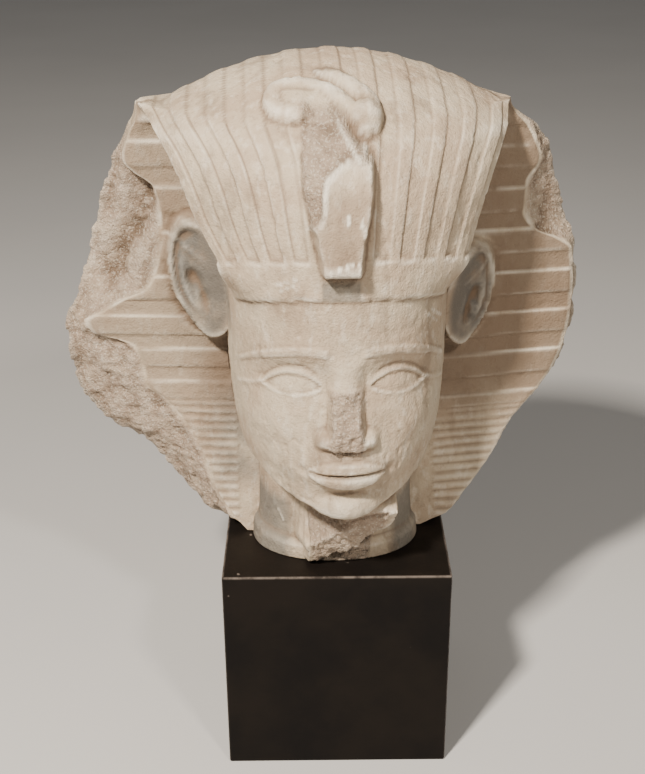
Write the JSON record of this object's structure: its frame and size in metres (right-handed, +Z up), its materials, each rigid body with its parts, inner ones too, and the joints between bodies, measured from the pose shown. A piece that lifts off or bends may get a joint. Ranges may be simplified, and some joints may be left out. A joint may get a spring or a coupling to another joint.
{
  "type": "egyptian statue",
  "caption": "Museum reproduction of a weathered stone head of a king in a striped royal headcloth, standing on a square black block.",
  "frame": {"origin": "centre of the block's square underside, on the surface that the statue stands on", "axes": "+Z up; +Y from the face towards the back, square to the block's front; +X towards the head's left, the viewer's right"},
  "size_m": [0.235, 0.156, 0.3202],
  "materials": {
    "cast_stone": "matt, cream to pinkish beige, with pale worn ridges and grey-blue in the recesses",
    "black_lacquer": "satin black lacquer, worn pale along the top front edge"
  },
  "bodies": {
    "root": {"head": "cast_stone", "block": "black_lacquer"}
  },
  "joints": []
}
